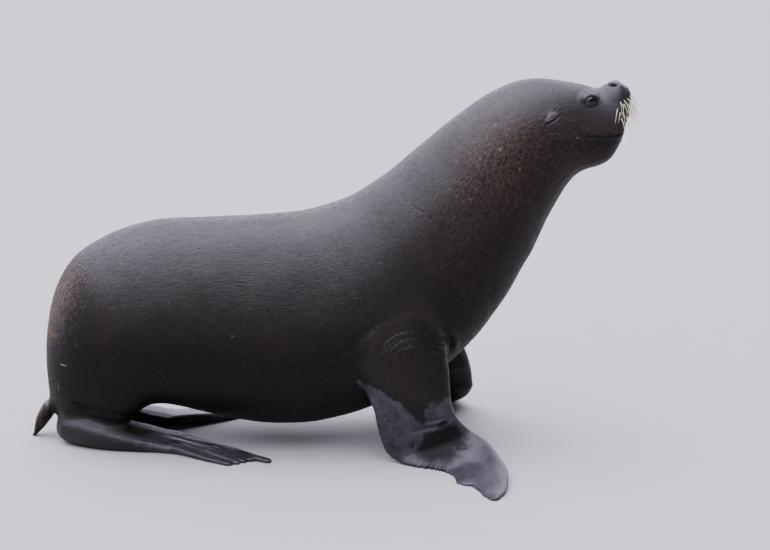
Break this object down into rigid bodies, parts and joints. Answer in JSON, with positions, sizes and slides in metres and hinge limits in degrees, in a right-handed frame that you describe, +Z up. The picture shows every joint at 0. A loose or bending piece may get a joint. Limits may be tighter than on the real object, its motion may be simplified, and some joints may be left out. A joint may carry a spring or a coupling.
{
  "type": "sea lion figure",
  "caption": "Life-size still model of a young male South American sea lion, sitting up on its front flippers with its hind flippers forward and its snout raised.",
  "frame": {"origin": "on the floor, under the middle of the animal's bounding box", "axes": "+X towards the snout, +Y towards the animal's left, +Z up"},
  "size_m": [1.8044, 1.2114, 1.102],
  "materials": {
    "coat": "short wet hair lying flat, dark brown to black",
    "flipper": "bare wet skin, blue-grey",
    "nose": "bare moist skin, fine pebbled",
    "eye": "wet and glossy, near black",
    "claw": "horn, reddish brown"
  },
  "bodies": {
    "root": {"rump": "coat", "abdomen": "coat", "chest": "coat", "neck": "coat", "tail": "coat", "eye_left": "eye", "eye_right": "eye", "lower_jaw": "coat", "nose": "nose", "ear_left": "coat", "ear_right": "coat", "head": "coat", "foreleg_left": "coat", "fore_flipper_left": "flipper", "foreleg_right": "coat", "fore_flipper_right": "flipper", "hind_leg_left": "coat", "hind_flipper_left": "flipper", "hind_leg_right": "coat", "hind_flipper_right": "flipper", "claw_2_left": "claw", "claw_3_left": "claw", "claw_4_left": "claw", "claw_2_right": "claw", "claw_3_right": "claw", "claw_4_right": "claw"}
  },
  "joints": []
}
